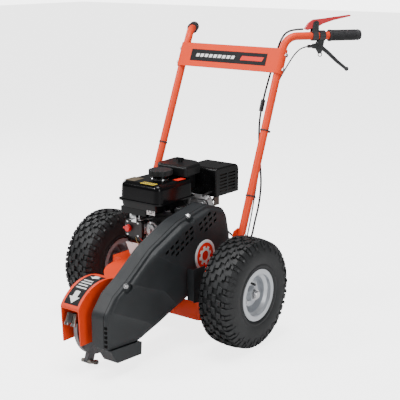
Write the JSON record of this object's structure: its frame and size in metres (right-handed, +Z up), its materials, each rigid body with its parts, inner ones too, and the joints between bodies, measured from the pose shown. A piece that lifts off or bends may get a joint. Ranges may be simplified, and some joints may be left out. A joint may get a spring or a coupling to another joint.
{
  "type": "stump grinder",
  "caption": "Walk-behind stump grinder: petrol engine on a steel deck, belt-driven toothed cutter disc in front under a guard, knobby tyres and a bent tube handle with control levers.",
  "frame": {"origin": "centre of the bounding box's footprint, on the ground under the tyres", "axes": "+Z up, +Y rearward towards the handle, so the cutter points to -Y; +X to the side with the belt cover and the brake lever"},
  "size_m": [0.7902, 1.1643, 1.0938],
  "materials": {
    "tyre": "matte",
    "wheel_silver": "satin",
    "frame_red": "gloss",
    "brace_red": "gloss",
    "zinc": "satin",
    "dark_steel": "satin",
    "tooth_steel": "satin",
    "carbide": "satin",
    "bearing_iron": "satin",
    "pulley_iron": "satin",
    "idler_steel": "satin",
    "belt": "matte",
    "cover_plastic": "satin",
    "grip_foam": "matte",
    "cable_jacket": "satin",
    "fitting_black": "satin",
    "lever_black": "satin",
    "lever_red": "gloss",
    "cast_aluminium": "satin",
    "flywheel_aluminium": "satin",
    "engine_black": "gloss",
    "cap_black": "satin",
    "cleaner_black": "satin",
    "muffler_steel": "satin",
    "muffler_black": "satin",
    "switch_black": "satin",
    "knob_red": "gloss",
    "small_zinc": "satin",
    "dipstick_plastic": "satin",
    "recoil_grip": "satin"
  },
  "bodies": {
    "machine": {"air_cleaner": "cleaner_black", "axle": "zinc", "axle_washers": "zinc", "brake_backplate": "zinc", "brake_cable": "cable_jacket", "brake_perch": "lever_black", "cable_fittings": "fitting_black", "carburetor": "cast_aluminium", "cover_bolts": "zinc", "cover_pan": "cover_plastic", "cover_shell": "cover_plastic", "cover_skirt": "cover_plastic", "crankcase": "cast_aluminium", "cutter_bearings": "bearing_iron", "cutter_guard": "frame_red", "cylinder": "cast_aluminium", "cylinder_head": "cast_aluminium", "drive_belt": "belt", "engagement_cable": "cable_jacket", "fan_housing": "engine_black", "frame_arm": "frame_red", "frame_bolts": "zinc", "frame_deck": "frame_red", "fuel_tank": "engine_black", "grip_left": "grip_foam", "grip_right": "grip_foam", "handle_brace": "brace_red", "handle_tube_left": "frame_red", "handle_tube_right": "frame_red", "idler_spring": "dark_steel", "muffler": "muffler_steel", "muffler_guard": "muffler_black", "presence_bracket": "lever_black", "recoil_cap": "engine_black", "switch_box": "switch_black"},
    "wheel_left": {"tyre_left": "tyre", "rim_left": "wheel_silver", "brake_drum": "bearing_iron"},
    "wheel_right": {"tyre_right": "tyre", "rim_right": "wheel_silver"},
    "cutter": {"cutter_shaft": "dark_steel", "cutter_disc": "dark_steel", "cutter_teeth": "tooth_steel", "tooth_tips": "carbide", "cutter_pulley": "pulley_iron"},
    "crank": {"crankshaft": "dark_steel", "flywheel": "flywheel_aluminium", "engine_pulley": "pulley_iron"},
    "idler_arm": {"idler_arm": "idler_steel"},
    "idler_pulley": {"idler_pulley": "idler_steel"},
    "presence_lever": {"presence_lever": "lever_red"},
    "brake_lever": {"brake_lever": "lever_black"},
    "brake_arm": {"brake_arm": "zinc"},
    "brake_latch": {"brake_latch": "lever_black"},
    "fuel_cap": {"fuel_cap": "cap_black"},
    "choke_lever": {"choke_lever": "small_zinc"},
    "throttle_arm": {"throttle_arm": "small_zinc"},
    "switch_knob": {"switch_knob": "knob_red"},
    "oil_dipstick": {"oil_dipstick": "dipstick_plastic"},
    "recoil_handle": {"recoil_handle": "recoil_grip"}
  },
  "joints": [
    {"name": "wheel_left_spin", "type": "hinge", "parent": "machine", "child": "wheel_left", "pos_m": [0.309, -0.033, 0.1905], "axis": [1, 0, 0], "continuous": true},
    {"name": "wheel_right_spin", "type": "hinge", "parent": "machine", "child": "wheel_right", "pos_m": [-0.309, -0.033, 0.1905], "axis": [1, 0, 0], "continuous": true},
    {"name": "cutter_spin", "type": "hinge", "parent": "machine", "child": "cutter", "pos_m": [0.016, -0.443, 0.137], "axis": [1, 0, 0], "continuous": true},
    {"name": "crank_spin", "type": "hinge", "parent": "machine", "child": "crank", "pos_m": [0.016, -0.023, 0.35], "axis": [1, 0, 0], "continuous": true},
    {"name": "idler_arm_pivot", "type": "hinge", "parent": "machine", "child": "idler_arm", "pos_m": [0.105, -0.231, 0.354], "axis": [1, 0, 0], "range_deg": [0, 7], "stiffness_Nm_per_rad": 4, "springref_deg": -11.46, "deforming": ["idler_spring"]},
    {"name": "idler_pulley_spin", "type": "hinge", "parent": "idler_arm", "child": "idler_pulley", "pos_m": [0.12, -0.294, 0.311], "axis": [1, 0, 0], "continuous": true},
    {"name": "presence_lever_pivot", "type": "hinge", "parent": "machine", "child": "presence_lever", "pos_m": [0.28024, 0.43035, 1.066], "axis": [-0.8192, 0.5736, 0], "range_deg": [0, 15], "stiffness_Nm_per_rad": 2, "springref_deg": -11.46},
    {"name": "brake_lever_pivot", "type": "hinge", "parent": "machine", "child": "brake_lever", "pos_m": [0.28827, 0.44181, 0.986], "axis": [0.8192, -0.5736, 0], "range_deg": [0, 25], "stiffness_Nm_per_rad": 1.5, "springref_deg": -8.59},
    {"name": "brake_arm_pivot", "type": "hinge", "parent": "machine", "child": "brake_arm", "pos_m": [0.23, -0.005, 0.226], "axis": [-1, 0, 0], "range_deg": [0, 15]},
    {"name": "brake_latch_pivot", "type": "hinge", "parent": "machine", "child": "brake_latch", "pos_m": [0.29171, 0.44673, 0.966], "axis": [0.8192, -0.5736, 0], "range_deg": [0, 30]},
    {"name": "fuel_cap_turn", "type": "hinge", "parent": "machine", "child": "fuel_cap", "pos_m": [-0.034, -0.061, 0.55], "axis": [0, 0, 1], "range_deg": [0, 90]},
    {"name": "choke_lever_pivot", "type": "hinge", "parent": "machine", "child": "choke_lever", "pos_m": [-0.103, 0.071, 0.474], "axis": [1, 0, 0], "range_deg": [0, 40]},
    {"name": "throttle_arm_pivot", "type": "hinge", "parent": "machine", "child": "throttle_arm", "pos_m": [-0.084, -0.129, 0.409], "axis": [0, 0, 1], "range_deg": [0, 35]},
    {"name": "switch_knob_turn", "type": "hinge", "parent": "machine", "child": "switch_knob", "pos_m": [-0.104, -0.149, 0.372], "axis": [0, -1, 0], "range_deg": [0, 60]},
    {"name": "oil_dipstick_turn", "type": "hinge", "parent": "machine", "child": "oil_dipstick", "pos_m": [-0.02, -0.12436, 0.30425], "axis": [0, -0.866, 0.5], "range_deg": [0, 180]},
    {"name": "recoil_handle_pull", "type": "slide", "parent": "machine", "child": "recoil_handle", "axis": [0, 0.9511, 0.309], "range_m": [0, 0.06], "stiffness_N_per_m": 120, "springref_m": -0.05}
  ],
  "couplings": [
    {"joint": "crank_spin", "follows": "cutter_spin", "ratio": 0.91111},
    {"joint": "idler_arm_pivot", "follows": "presence_lever_pivot", "ratio": 0.46667},
    {"joint": "brake_arm_pivot", "follows": "brake_lever_pivot", "ratio": 0.6}
  ]
}
